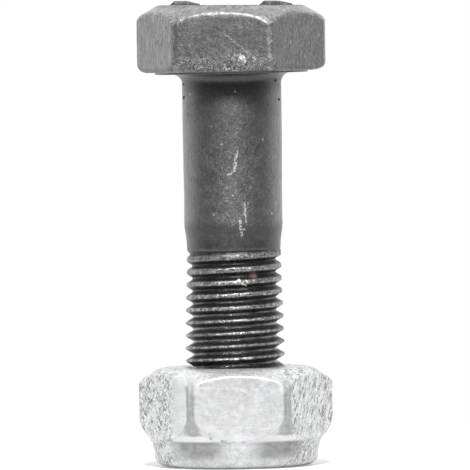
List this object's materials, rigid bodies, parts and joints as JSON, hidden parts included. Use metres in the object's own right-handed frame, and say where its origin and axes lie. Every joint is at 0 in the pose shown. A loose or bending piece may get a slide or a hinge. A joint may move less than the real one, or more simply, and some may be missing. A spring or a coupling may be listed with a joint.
{
  "type": "hexagon bolt with lock nut",
  "caption": "Hexagon head bolt with a partly plain shank and fine thread, carrying a nylon insert lock nut that screws along it.",
  "frame": {"origin": "centre of the lock nut's round collar where it stands, under the bolt's axis", "axes": "+Z along the bolt's axis from the nut to the head, with a wrench flat of each close to square to Y"},
  "size_m": [0.019, 0.0176, 0.0455],
  "materials": {
    "bolt_steel": "dark phosphate, worn",
    "nut_zinc": "bright zinc, scratched",
    "insert_nylon": "natural nylon"
  },
  "bodies": {
    "bolt": {"bolt": "bolt_steel"},
    "insert": {"nylon_insert": "insert_nylon"},
    "nut": {"lock_nut": "nut_zinc"}
  },
  "joints": [
    {"name": "nut_advance", "type": "slide", "parent": "bolt", "child": "insert", "axis": [0, 0, 1], "range_m": [-0.00626, 0.01001], "deforming": ["nylon_insert"]},
    {"name": "nut_turn", "type": "hinge", "parent": "insert", "child": "nut", "pos_m": [0, 0, 0.005], "axis": [0, 0, 1], "range_deg": [-1800, 2880]}
  ],
  "couplings": [
    {"joint": "nut_advance", "follows": "nut_turn", "m_per_rad": 0.00019894}
  ]
}
